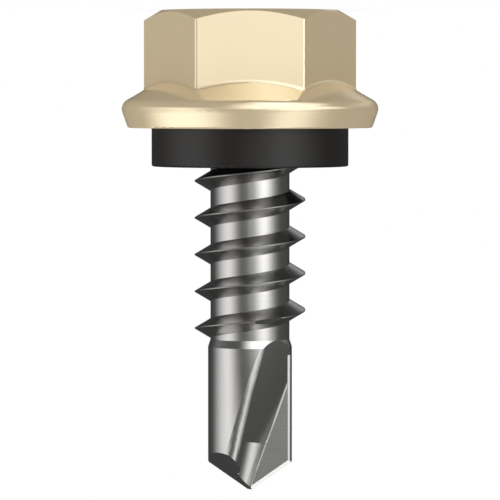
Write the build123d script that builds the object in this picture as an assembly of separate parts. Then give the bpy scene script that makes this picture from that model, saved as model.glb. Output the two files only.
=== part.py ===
"""Self drilling screw with a hexagon flange head, and its rubber sealing washer.

The screw is modelled as it can stand on a bench, on its head. z = 0 is the flat top of the head,
the drill point is up, and the Z axis is the axis of the screw. Lengths are in millimetres and
angles in degrees. Two flats of the hexagon are square to Y.
"""
from build123d import *
import math
import os

# Head: a forged hexagon with a flange, all one piece with the shank.
HEX_FLATS = 7.94
HEX_EDGE_R = 0.13
HEX_TOP_D = 7.63
HEX_TOP_ANGLE = 30.0
HEX_TOP_R = 0.08
HEX_ROOT_R = 0.17
HEAD_H = 5.05
FLANGE_D = 11.04
FLANGE_CONE_ANGLE = 30.0
FLANGE_SIDE_ANGLE = 19.5
FLANGE_NOSE_R = 0.45
FLANGE_NOSE_H = 0.81
FLANGE_FOOT_R = 0.12

# Shank, measured from the seat, which is the flat underside of the flange. The thread is counted
# back from its last full crest, which is on the +X side.
SHANK_L = 15.62
CORE_D = 3.41
THREAD_D = 4.78
THREAD_PITCH = 1.5875
THREAD_ANGLE = 60.0
THREAD_CREST_W = 0.04
THREAD_START = 0.60
THREAD_END = 8.64
THREAD_EMBED = 0.12
RUN_OUT_TURNS = 0.5
CREST_GAP_DEPTH = 0.08
CREST_GAP_ANGLE = 245.0
CREST_GAP_TILT = 45.0

# Drill point: two flutes, half a turn apart, in a body a little thicker than the core. Lengths
# are measured from the tip. The wall of a flute is a plane turned about the axis and leaning,
# with a wide crown set askew on it and a round heel where it turns outwards. The notch that thins
# the web lies to the side of the axis and leans, and its round side ends where it has turned by
# this much. A margin is the outer edge of a rake face.
DRILL_D = 3.62
DRILL_L = 6.19
SHOULDER_L = 0.33
POINT_ANGLE = 110.0
FLANK_ANGLE = 32.0
WEB = 0.40
FLUTE_L = 7.20
FLUTE_TURN = 42.6
FLUTE_LEAN = 13.4
FLUTE_OFFSET = 0.22
FLUTE_CROWN_R = 19.0
FLUTE_CROWN_SKEW = 39.0
FLUTE_CROWN_SHIFT = 3.37
HEEL_R = 0.42
ROOT_R = 0.12
NOTCH_L = 2.03
NOTCH_R = 0.95
NOTCH_SIDE = 0.51
NOTCH_LEAN = 11.0
NOTCH_TURN = 49.0
LIP_BEVEL = 0.21
LIP_BEVEL_ANGLE = 27.0
MARGIN_L = 5.85
MARGIN_R = 0.20

# Sealing washer, pressed against the seat. The groove in its bore is counted in turns of the
# thread: it starts a little ahead of the thread and goes on past the free face.
WASHER_D = 8.48
WASHER_T = 1.66
WASHER_EDGE_R = 0.09
WASHER_CLEARANCE = 0.05
GROOVE_LEAD = 0.125
GROOVE_SPARE = 0.5

# Places along the axis that follow from the sizes above.
SEAT_Z = HEAD_H
TIP_Z = SEAT_Z + SHANK_L
SHOULDER_Z = TIP_Z - DRILL_L
THREAD_END_Z = SEAT_Z + THREAD_END
THREAD_TURNS = math.floor((THREAD_END - THREAD_START) / THREAD_PITCH)
FLUTE_FACING = 180 + FLUTE_TURN
LIP_SLOPE = 1 / math.tan(math.radians(POINT_ANGLE / 2))

CORE_R = CORE_D / 2
DRILL_R = DRILL_D / 2
THREAD_R = THREAD_D / 2
HEX_CORNER_R = HEX_FLATS / math.sqrt(3)
REACH = 4 * FLANGE_D


def tan(degrees):
    """Tangent of an angle in degrees."""
    return math.tan(math.radians(degrees))


def polar(radius, degrees, z=0.0):
    """A point at this radius and angle round the Z axis."""
    turn = math.radians(degrees)
    return Vector(radius * math.cos(turn), radius * math.sin(turn), z)


def hexagon():
    """The hexagon that the driver grips, with softened corners and a chamfered top."""
    prism = extrude(RegularPolygon(HEX_CORNER_R, 6), HEAD_H - FLANGE_FOOT_R)
    prism = fillet(prism.edges().filter_by(Axis.Z), HEX_EDGE_R)
    top_r = HEX_TOP_D / 2
    drop = (HEX_CORNER_R - top_r) * tan(HEX_TOP_ANGLE)
    outline = make_face(Polyline((0, 0), (top_r, 0), (HEX_CORNER_R, drop), (HEX_CORNER_R, HEAD_H),
                                 (0, HEAD_H), close=True))
    outline = fillet(outline.vertices().sort_by_distance((top_r, 0)).first, HEX_TOP_R)
    turned = revolve(Plane.XZ * outline, Axis.Z)
    return prism & turned


def flange():
    """The flange: a cone that runs out from under the hexagon, a round nose and a tapered side."""
    nose_r = FLANGE_D / 2 - FLANGE_NOSE_R
    nose_z = SEAT_Z - FLANGE_NOSE_H
    cone = math.radians(FLANGE_CONE_ANGLE)
    side = math.radians(FLANGE_SIDE_ANGLE)
    cone_end = (nose_r + FLANGE_NOSE_R * math.sin(cone), nose_z - FLANGE_NOSE_R * math.cos(cone))
    side_end = (nose_r + FLANGE_NOSE_R * math.cos(side), nose_z + FLANGE_NOSE_R * math.sin(side))
    foot = (side_end[0] - (SEAT_Z - side_end[1]) * math.tan(side), SEAT_Z)
    inner = (CORE_R, cone_end[1] - (cone_end[0] - CORE_R) * math.tan(cone))
    rim = Curve() + [
        Line(inner, cone_end),
        ThreePointArc(cone_end, (FLANGE_D / 2, nose_z), side_end),
        Polyline(side_end, foot, (0, SEAT_Z), (0, inner[1]), inner),
    ]
    outline = make_face(rim)
    outline = fillet(outline.vertices().sort_by_distance(foot).first, FLANGE_FOOT_R)
    return revolve(Plane.XZ * outline, Axis.Z)


def head():
    """Hexagon and flange, with a small forged fillet where they meet."""
    grip = hexagon()
    skirt = flange()
    joined = grip + skirt
    return fillet(new_edges(grip, skirt, combined=joined), HEX_ROOT_R)


def ridge(first, turns, grow=0.0):
    """A piece of the thread's ridge, wound right-handed. It starts this many turns before the
    last full crest. grow makes it thicker all round, for the room that it needs in the washer."""
    half = math.radians(THREAD_ANGLE / 2)
    crest = THREAD_R - CORE_R + grow
    crest_half = THREAD_CREST_W / 2 + grow * (1 - math.sin(half)) / math.cos(half)
    foot_half = crest_half + (crest + THREAD_EMBED) * math.tan(half)
    path = Helix(THREAD_PITCH, turns * THREAD_PITCH, CORE_R,
                 center=(0, 0, THREAD_END_Z - first * THREAD_PITCH))
    section = make_face(Polyline((-THREAD_EMBED, -foot_half), (crest, -crest_half),
                                 (crest, crest_half), (-THREAD_EMBED, foot_half), close=True))
    start = Plane(origin=path @ 0, x_dir=(1, 0, 0), z_dir=path % 0)
    return sweep(start * section, path=path, is_frenet=True).rotate(Axis.Z, -360 * first)


def run_out():
    """The end of the thread, taken down to the core by an off-centre round."""
    near = CORE_R - THREAD_EMBED / 2
    far = THREAD_R + THREAD_CREST_W / 2
    off_centre = Pos((far - near) / 2, 0, THREAD_END_Z) * Cylinder((far + near) / 2, DRILL_L)
    return ridge(0, RUN_OUT_TURNS) & off_centre


def crest_gap_cutter():
    """A flat on the drill side of the last crest, above the front flute, where the rolled crest
    is not full."""
    height = THREAD_END_Z - THREAD_PITCH * (1 - CREST_GAP_ANGLE / 360)
    flat = Plane(origin=polar(THREAD_R - CREST_GAP_DEPTH, CREST_GAP_ANGLE, height),
                 z_dir=polar(1, CREST_GAP_ANGLE, tan(CREST_GAP_TILT)))
    return flat * Box(THREAD_PITCH, THREAD_PITCH, THREAD_D, align=(Align.CENTER, Align.CENTER, Align.MIN))


def shank_blank():
    """Core and drill body before the flutes are cut, rooted in the head."""
    root_z = SEAT_Z - FLANGE_NOSE_H
    outline = make_face(Polyline(
        (0, root_z), (CORE_R, root_z), (CORE_R, SHOULDER_Z - SHOULDER_L), (DRILL_R, SHOULDER_Z),
        (DRILL_R, TIP_Z), (0, TIP_Z), close=True))
    return revolve(Plane.XZ * outline, Axis.Z)


def beyond(plane):
    """Everything on the outer side of a plane."""
    return plane * Box(REACH, REACH, REACH, align=(Align.CENTER, Align.CENTER, Align.MIN))


def flank_cutter():
    """What lies above the flank of the cutting lip on the -X side. The two flanks meet in the
    chisel edge, which crosses the axis at the tip."""
    relief = tan(FLANK_ANGLE)
    return beyond(Plane(origin=(0, 0, TIP_Z), z_dir=(-LIP_SLOPE, relief, 1)))


def lip_bevel_cutter():
    """The small bevel along the cutting lip on the -X side, between its rake face and flank."""
    lip = Vector(-LIP_SLOPE, 0, 1).normalized()
    lip_start = Vector(0, -WEB / 2, TIP_Z + tan(FLANK_ANGLE) * WEB / 2)
    bevel = Plane(origin=lip_start - lip * LIP_BEVEL, x_dir=(-1, 0, -LIP_SLOPE),
                  z_dir=lip * tan(LIP_BEVEL_ANGLE) + Vector(0, -1, 0))
    return bevel * Box(REACH, DRILL_R, DRILL_R, align=(Align.MIN, Align.CENTER, Align.MIN))


def margin_cutter():
    """What is cut away to round the outer edge of the rake face on the -X side."""
    middle_y = MARGIN_R - WEB / 2
    middle = Vector(-math.sqrt((DRILL_R - MARGIN_R) ** 2 - middle_y ** 2), middle_y)
    outside = middle + middle.normalized() * DRILL_R
    corner = Polyline(middle, outside, (outside.X, -DRILL_R), (middle.X, -DRILL_R), close=True)
    profile = make_face(corner) - Pos(middle.X, middle.Y) * Circle(MARGIN_R)
    return Pos(0, 0, TIP_Z - MARGIN_L) * extrude(profile, REACH)


def flute_space():
    """All that lies in front of the rake face on the -X side. Its flat floor is parallel to the
    axis."""
    corner = Pos(0, -WEB / 2, TIP_Z - FLUTE_L)
    return corner * Box(REACH, REACH, REACH, align=(Align.CENTER, Align.MAX, Align.MIN))


def flute_crown():
    """The wide round, set askew, that the wall of the flute on the -Y side follows. It leans over
    the rake face as it nears the head, so the flute runs out there."""
    wall = Plane(origin=polar(FLUTE_OFFSET, FLUTE_FACING, TIP_Z), x_dir=polar(1, FLUTE_FACING + 90),
                 z_dir=polar(1, FLUTE_FACING, tan(FLUTE_LEAN)))
    crown = Cylinder(FLUTE_CROWN_R, REACH, rotation=(90, 0, 0))
    return wall * Pos(FLUTE_CROWN_SHIFT, 0, -FLUTE_CROWN_R) * Rot(0, 0, -FLUTE_CROWN_SKEW) * crown


def flute_wall():
    """What the flute leaves of the shank. Above the shoulder it has a round heel, where the wall
    turns to the outside of the drill body."""
    crown = flute_crown()
    body = Pos(0, 0, SHOULDER_Z) * Cylinder(DRILL_R, DRILL_L, align=(Align.CENTER, Align.CENTER, Align.MIN))
    wall = crown & body
    heel = new_edges(crown, body, combined=wall).sort_by_distance((0, -DRILL_R, SHOULDER_Z + DRILL_R)).first
    return fillet(heel, HEEL_R) + (crown - beyond(Plane.XY.offset(SHOULDER_Z)))


def flute_cutter():
    """What is cut away for the flute on the -Y side, with a small round at its root."""
    space = flute_space()
    wall = flute_wall()
    flute = space - wall
    root = new_edges(space, wall, combined=flute).sort_by_distance((0, -WEB / 2, TIP_Z)).first
    return fillet(root, ROOT_R)


def notch_cutter():
    """The notch that thins the web by the tip: a leaning slot with its floor level with the rake
    face, and a round that rises from the floor on the heel side."""
    rise = CenterArc((0, 0), NOTCH_R, 90, -NOTCH_TURN)
    sides = Polyline(rise @ 1, ((rise @ 1).X, -DRILL_D), (-NOTCH_R, -DRILL_D), (-NOTCH_R, NOTCH_R), rise @ 0)
    place = Pos(-NOTCH_SIDE, -WEB / 2 - NOTCH_R, TIP_Z - NOTCH_L) * Rot(0, NOTCH_LEAN, 0)
    return place * extrude(make_face(Curve() + [rise, sides]), REACH)


def both_sides(cutter):
    """A cutter and its copy half a turn round."""
    return [cutter, cutter.rotate(Axis.Z, 180)]


def drill_point():
    """The shank with its drill point: flanks, flutes, notches and bevelled margins and lips."""
    body = shank_blank()
    cutters = (flank_cutter(), flute_cutter(), notch_cutter(), margin_cutter(), lip_bevel_cutter())
    for cutter in cutters:
        for side in both_sides(cutter):
            body -= side
    return body


def screw():
    """The screw in one piece: head, core, thread and fluted drill point."""
    ending = run_out()
    for cutter in both_sides(flute_space() - flute_crown()):
        ending -= cutter
    body = drill_point() + ending + (ridge(1, 1) - crest_gap_cutter())
    for turn in range(2, THREAD_TURNS + 1):
        body += ridge(turn, 1)
    return body + head()


def sealing_washer():
    """The rubber washer under the flange. It is tight on the core, and the first turn of the
    thread has pressed its own groove into the bore."""
    ring = Pos(0, 0, SEAT_Z) * Cylinder(WASHER_D / 2, WASHER_T, align=(Align.CENTER, Align.CENTER, Align.MIN))
    ring = fillet(ring.edges().sort_by(Axis.Z).last, WASHER_EDGE_R)
    bore = Pos(0, 0, SEAT_Z) * Cylinder(CORE_R + WASHER_CLEARANCE, REACH)
    groove_turns = GROOVE_LEAD + WASHER_T / THREAD_PITCH + GROOVE_SPARE
    groove = ridge(THREAD_TURNS + GROOVE_LEAD, groove_turns, WASHER_CLEARANCE)
    return ring - bore - groove


os.makedirs("parts", exist_ok=True)
for name, piece in (("screw", screw()), ("sealing_washer", sealing_washer())):
    export_step(piece, f"parts/{name}.step")
    print(name, "solids", len(piece.solids()), "volume", round(piece.volume, 3), "valid", piece.is_valid)
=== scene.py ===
"""Finishes, studio and camera for the self drilling screw.

Metres. The screw stands on its head at the origin with the drill point up, and the camera is held
upside down, so that the picture shows the head at the top.
"""
import math

import bmesh
import bpy
from mathutils import Matrix, Vector


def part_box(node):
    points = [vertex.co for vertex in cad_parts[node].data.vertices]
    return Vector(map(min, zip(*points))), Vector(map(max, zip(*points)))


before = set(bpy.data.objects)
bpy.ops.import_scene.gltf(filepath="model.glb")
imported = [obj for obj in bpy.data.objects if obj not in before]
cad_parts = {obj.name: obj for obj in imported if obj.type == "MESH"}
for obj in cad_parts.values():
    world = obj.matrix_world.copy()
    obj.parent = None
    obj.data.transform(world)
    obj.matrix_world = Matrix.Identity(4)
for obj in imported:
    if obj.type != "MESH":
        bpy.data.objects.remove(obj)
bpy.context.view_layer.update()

MM = 0.001

# The picture's frame, in its own pixels, and the scale of the screw in it.
PICTURE_SIDE = 500
PIXELS_PER_MM = 23.19
HEAD_TOP_ROW = 10.7
EYE_ROW = 89.8
CAMERA_DISTANCE = 164.7 * MM
SENSOR_WIDTH = 36.0

# The screw: where paint gives way to bare steel, and the outside of the thread.
SEAT_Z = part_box("sealing_washer")[0].z
THREAD_RADIUS = 2.39 * MM

# The ground edge between notch and rake face, in millimetres: its two ends as x and z, the slopes
# on its two sides, its height, and how deep the rake face lies on either side of the axis.
NOTCH_TOP = (-0.668, 18.663)
NOTCH_TIP = (0.01, 20.54)
EDGE_SLOPES = (0.2, 0.05)
EDGE_HEIGHT = 0.028
RAKE_DEPTH = ((0.10, 0.16), (0.26, 0.32))

# Finishes. Bumps are given in hundredths of a millimetre.
PAINT_CREAM = (0.88, 0.715, 0.46, 1)
PAINT_SHEEN = (1.0, 0.87, 0.64, 1)
PAINT_IOR = 3.6
STEEL = (0.413, 0.408, 0.399, 1)
DULL_STEEL = (0.26, 0.255, 0.245, 1)
RUBBER = (0.014, 0.0125, 0.0115, 1)
BUMP_STEP = 0.01 * MM

# Strengths of the studio's lights, and of the plain light that shades the surfaces.
ROOM_LIGHT = 0.73
ROOM_GLOW = 0.13
LEFT_STRIP = 1.65
RIGHT_STRIP = 1.95
OVERHEAD = 2.3
BOUNCE = 11.5
BOUNCE_TINT = (0.38, 0.66, 1.0, 1)
LOW_CARD = 1.9
FRONT_BOX = 1.25
CORNER_STRIP = 2.6
RIM_STRIP = 0.5
FRONT_FILL = 0.07
BACK_KEY = 0.9
WHITE = (1, 1, 1, 1)

FLOOR_SIDE = 4.0
FLOOR_SHADE = 0.07
SHADE_REACH = 2.5 * MM


class Value:
    """One output of a shader node. Arithmetic on it adds Math nodes."""

    def __init__(self, nodes, output):
        self.nodes = nodes
        self.output = output

    def __add__(self, other):
        return self.nodes.maths("ADD", self, other)

    def __radd__(self, other):
        return self.nodes.maths("ADD", other, self)

    def __sub__(self, other):
        return self.nodes.maths("SUBTRACT", self, other)

    def __rsub__(self, other):
        return self.nodes.maths("SUBTRACT", other, self)

    def __mul__(self, other):
        return self.nodes.maths("MULTIPLY", self, other)

    def __rmul__(self, other):
        return self.nodes.maths("MULTIPLY", other, self)

    def __truediv__(self, other):
        return self.nodes.maths("DIVIDE", self, other)

    def __neg__(self):
        return self.nodes.maths("MULTIPLY", self, -1.0)


class Nodes:
    """Fills one node tree, from an empty start."""

    def __init__(self, tree):
        self.tree = tree
        tree.nodes.clear()

    def add(self, kind, settings=None, inputs=None, output=0):
        """Adds a node with these settings and these values or links, and gives one of its outputs."""
        made = self.tree.nodes.new(kind)
        for name, value in (settings or {}).items():
            setattr(made, name, value)
        for name, value in (inputs or {}).items():
            if isinstance(value, Value):
                self.tree.links.new(value.output, made.inputs[name])
            else:
                made.inputs[name].default_value = value
        return Value(self, made.outputs[output])

    def end(self, kind, shader):
        """Closes the tree with an output node of this kind."""
        made = self.tree.nodes.new(kind)
        self.tree.links.new(shader.output, made.inputs["Surface"])

    def maths(self, operation, *values):
        """A Math node on numbers or outputs."""
        return self.add("ShaderNodeMath", {"operation": operation}, dict(enumerate(values)))

    def ramp(self, value, start, end):
        """Rises in a straight line from 0 at start to 1 at end."""
        return self.add("ShaderNodeMapRange", None, {
            "Value": value, "From Min": start, "From Max": end})

    def smooth(self, value, start, end):
        """Rises softly from 0 at start to 1 at end."""
        return self.add("ShaderNodeMapRange", {"interpolation_type": "SMOOTHSTEP"}, {
            "Value": value, "From Min": start, "From Max": end})

    def between(self, value, rise, fall):
        """Rises softly over the first range and falls softly over the second."""
        return self.smooth(value, *rise) * (1 - self.smooth(value, *fall))

    def bell(self, value, middle, width):
        """A soft hump round the middle, with this width to where it falls to a third."""
        offset = (value - middle) / width
        return self.maths("EXPONENT", -(offset * offset))

    def blend(self, share, low, high):
        """A colour between two colours."""
        return self.add("ShaderNodeMix", {"data_type": "RGBA"}, {0: share, 6: low, 7: high}, output=2)

    def noise(self, place, size, detail=2.0):
        """Soft noise with features about this many metres across, from 0 to 1."""
        return self.add("ShaderNodeTexNoise", None, {
            "Vector": place, "Scale": 1 / size, "Detail": detail})

    def stretched(self, place, stretch):
        """Object coordinates scaled along X, Y and Z."""
        return self.add("ShaderNodeVectorMath", {"operation": "MULTIPLY"}, {0: place, 1: stretch})

    def bump(self, strength, height):
        """A normal that follows this height."""
        return self.add("ShaderNodeBump", None, {
            "Strength": strength, "Distance": BUMP_STEP, "Height": height})

    def axes(self, place):
        """The x, y and z of a place or a direction."""
        return [self.add("ShaderNodeSeparateXYZ", None, {0: place}, output=axis)
                for axis in ("X", "Y", "Z")]


def new_material(name):
    """An empty node material, and the builder of its nodes."""
    material = bpy.data.materials.new(name)
    material.use_nodes = True
    return material, Nodes(material.node_tree)


def object_place(nodes):
    """Object coordinates."""
    return nodes.add("ShaderNodeTexCoord", output="Object")


def notch_edge(nodes, x, y, z):
    """The fine ground edge along the foot of each notch, on its rake face. The second notch is the
    first one turned half way round the axis."""
    slope = (NOTCH_TIP[0] - NOTCH_TOP[0]) / (NOTCH_TIP[1] - NOTCH_TOP[1])
    own_x = -1 / MM * x * nodes.maths("SIGN", y)
    up = 1 / MM * z
    past = (NOTCH_TOP[0] + slope * (up - NOTCH_TOP[1]) - own_x) * math.cos(math.atan(slope))
    rise = nodes.ramp(past, -EDGE_SLOPES[0], 0.0)
    fall = nodes.ramp(past, EDGE_SLOPES[1], 0.0)
    face = nodes.between(1 / MM * nodes.maths("ABSOLUTE", y), *RAKE_DEPTH)
    height = EDGE_HEIGHT * MM / BUMP_STEP
    return height * rise * fall * face * nodes.smooth(up, NOTCH_TOP[1] - 0.1, NOTCH_TOP[1])


def screw_finish():
    """Gloss cream paint up to the seat, and bright plated steel above it, a little duller on the
    crests of the thread."""
    material, nodes = new_material("painted_steel_screw")
    place = object_place(nodes)
    x, y, z = nodes.axes(place)
    steel = nodes.maths("GREATER_THAN", z, SEAT_Z + 0.02 * MM)
    radius = nodes.maths("SQRT", x * x + y * y)
    crest = steel * nodes.smooth(radius, THREAD_RADIUS - 0.06 * MM, THREAD_RADIUS - 0.01 * MM)
    drawn = nodes.noise(nodes.stretched(place, (1, 1, 12)), 0.9 * MM, 4)
    worn = nodes.noise(place, 1.4 * MM, 3)
    peel = nodes.noise(place, 0.28 * MM, 1)
    paint = nodes.add("ShaderNodeBsdfPrincipled", None, {
        "Base Color": PAINT_CREAM,
        "Roughness": 0.055 + 0.03 * worn,
        "IOR": PAINT_IOR,
        "Specular Tint": PAINT_SHEEN,
        "Normal": nodes.bump(0.05, peel),
    })
    metal = nodes.add("ShaderNodeBsdfPrincipled", None, {
        "Base Color": nodes.blend(crest, STEEL, DULL_STEEL),
        "Metallic": 1.0,
        "Roughness": 0.15 + 0.07 * worn + 0.05 * drawn + 0.15 * crest,
        "Normal": nodes.bump(1.0, 0.15 * drawn + notch_edge(nodes, x, y, z)),
    })
    shader = nodes.add("ShaderNodeMixShader", None, {0: steel, 1: paint, 2: metal})
    nodes.end("ShaderNodeOutputMaterial", shader)
    return material


def rubber_finish():
    """Satin black moulded rubber."""
    material, nodes = new_material("sealing_rubber_washer")
    place = object_place(nodes)
    shader = nodes.add("ShaderNodeBsdfPrincipled", None, {
        "Base Color": RUBBER,
        "Roughness": 0.30 + 0.06 * nodes.noise(place, 1.1 * MM),
        "Specular IOR Level": 0.30,
        "Normal": nodes.bump(0.15, nodes.noise(place, 0.12 * MM, 3)),
    })
    nodes.end("ShaderNodeOutputMaterial", shader)
    return material


def dress(node, material):
    """Gives a CAD node its finish."""
    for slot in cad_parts[node].material_slots:
        slot.material = material


def light_path(nodes, question):
    """What the world can tell of the ray that meets it."""
    return nodes.add("ShaderNodeLightPath", output=question)


def side_strips(nodes, across, up):
    """The two tall soft strips, left and right of the camera. Both are brighter and wider below the
    level of the camera, and fade towards the floor of the picture."""
    low = nodes.smooth(-up, 4, 26)
    lower = nodes.smooth(-up, 22, 40)
    steep = 1 - 0.8 * nodes.smooth(-up, 52, 72)
    narrow = nodes.bell(up, -5.7, 1.3)
    dim = 1 - 0.36 * nodes.bell(up, -18, 8)
    left = nodes.between(across, (-130 + 4 * low, -62 - 20 * low),
                         (-66 + 4 * low, -21 + 11 * low - 13 * narrow))
    left = left * (1 - nodes.smooth(up, 8, 24)) * (LEFT_STRIP + 0.35 * low) * steep
    right = nodes.bell(across - 6 * low, 39, 25.5) * (RIGHT_STRIP - 0.5 * lower) * steep * dim
    return left, right


def overhead_panel(nodes, across, up):
    """The broad panel over the camera, a little to its right, brightest 30 degrees up."""
    upper = nodes.bell(up, 30, 10)
    panel = nodes.between(across, (-35 + 5 * upper, 14), (68 - 20 * upper, 112 - 20 * upper))
    panel = panel * nodes.smooth(up, 0, 9) * (1 - 0.5 * nodes.smooth(up, 44, 60))
    return (OVERHEAD + 0.5 * upper) * panel


def small_lights(nodes, across, up):
    """The card below for the lips, the small box in front for the flat that faces the camera, the
    strip for the edge beside it, the rim light behind, and a faint fill."""
    card = nodes.bell(across, 32, 14) * nodes.bell(up, -50, 8)
    level = nodes.between(up, (-0.8, -0.3), (2, 3))
    box = nodes.between(across, (-3, -2), (2, 3)) * level
    corner = nodes.bell(across, 48, 24) * level
    rim = nodes.smooth(across, 95, 130) * nodes.bell(up, 21, 9)
    fill = nodes.bell(across, -10, 40)
    lights = LOW_CARD * card + FRONT_BOX * box + CORNER_STRIP * corner
    return lights + RIM_STRIP * rim + FRONT_FILL * fill


def studio_sky():
    """The studio round the screw, as its gloss mirrors it: degrees across from the camera, to the
    right, and up in the picture. Surfaces are shaded by the same plain light from all sides, and the
    camera itself sees plain white behind the screw."""
    world = bpy.data.worlds.new("studio")
    bpy.context.scene.world = world
    world.use_nodes = True
    nodes = Nodes(world.node_tree)
    x, y, z = nodes.axes(nodes.add("ShaderNodeTexCoord", output="Generated"))
    across = nodes.maths("ARCTAN2", -x, -y) * math.degrees(1)
    up = nodes.maths("ARCSINE", -z) * math.degrees(1)
    behind = nodes.smooth(nodes.maths("ABSOLUTE", across), 120, 165)
    left, right = side_strips(nodes, across, up)
    right = nodes.maths("MAXIMUM", right, overhead_panel(nodes, across, up))
    # Cool light from high up, meant for what the paint mirrors of its own flats.
    again = nodes.smooth(light_path(nodes, "Ray Depth"), 2.2, 2.8)
    bounce = nodes.bell(across, 42, 40) * nodes.bell(up, 62, 9) * (0.2 + 0.8 * again)
    glow = ROOM_GLOW - 0.07 * behind + left + right + BOUNCE * bounce
    glow = glow + small_lights(nodes, across, up)
    camera_ray = light_path(nodes, "Is Camera Ray")
    diffuse_ray = light_path(nodes, "Is Diffuse Ray")
    strength = glow * (1 - diffuse_ray) + ROOM_LIGHT * diffuse_ray
    sky = nodes.add("ShaderNodeBackground", None, {
        "Color": nodes.blend(bounce * (1 - camera_ray), WHITE, BOUNCE_TINT),
        "Strength": strength * (1 - camera_ray) + camera_ray,
    })
    nodes.end("ShaderNodeOutputWorld", sky)


def back_key():
    """A broad soft light from far behind, which shades surfaces but isn't mirrored in them."""
    light = bpy.data.lights.new("back_key", "SUN")
    light.energy = BACK_KEY
    light.angle = math.radians(12)
    lamp = bpy.data.objects.new("back_key", light)
    lamp.rotation_euler = Vector((0, -1, 0)).to_track_quat("-Z", "Y").to_euler()
    lamp.visible_glossy = False
    bpy.context.scene.collection.objects.link(lamp)


def floor():
    """The white floor that the screw stands on, glowing white, with a painted contact shadow close
    round the head.
    """
    mesh = bpy.data.meshes.new("floor")
    sheet = bmesh.new()
    bmesh.ops.create_grid(sheet, x_segments=1, y_segments=1, size=FLOOR_SIDE / 2)
    sheet.to_mesh(mesh)
    sheet.free()
    piece = bpy.data.objects.new("floor", mesh)
    bpy.context.scene.collection.objects.link(piece)
    material, nodes = new_material("floor_white")
    # Painted contact shadow: the floor's glow is dimmed where the head shuts out open sky close by.
    open_sky = nodes.add("ShaderNodeAmbientOcclusion", {"samples": 8}, {"Distance": SHADE_REACH},
                         output="AO")
    shader = nodes.add("ShaderNodeEmission", None, {
        "Color": WHITE, "Strength": 1 - FLOOR_SHADE + FLOOR_SHADE * open_sky})
    nodes.end("ShaderNodeOutputMaterial", shader)
    mesh.materials.append(material)
    piece.visible_diffuse = False
    piece.visible_glossy = False


def camera():
    """The camera of the picture: low, near the head, looking up a little, and upside down."""
    eye = Vector((0, -CAMERA_DISTANCE, (EYE_ROW - HEAD_TOP_ROW) / PIXELS_PER_MM * MM))
    middle_row = PICTURE_SIDE / 2
    target = Vector((0, 0, (middle_row - HEAD_TOP_ROW) / PIXELS_PER_MM * MM))
    forward = (target - eye).normalized()
    right = forward.cross(Vector((0, 0, -1))).normalized()
    top = right.cross(forward)
    data = bpy.data.cameras.new("camera")
    half_view = PICTURE_SIDE / 2 / PIXELS_PER_MM * MM
    data.sensor_width = SENSOR_WIDTH
    data.lens = SENSOR_WIDTH / 2 * (target - eye).length / half_view
    data.clip_start = CAMERA_DISTANCE / 20
    data.clip_end = FLOOR_SIDE * 2
    held = bpy.data.objects.new("camera", data)
    held.matrix_world = Matrix.Translation(eye) @ Matrix((right, top, -forward)).transposed().to_4x4()
    bpy.context.scene.collection.objects.link(held)
    bpy.context.scene.camera = held


camera()
dress("screw", screw_finish())
dress("sealing_washer", rubber_finish())
studio_sky()
back_key()
floor()

scene = bpy.context.scene
scene.view_settings.view_transform = "Standard"
scene.view_settings.look = "None"
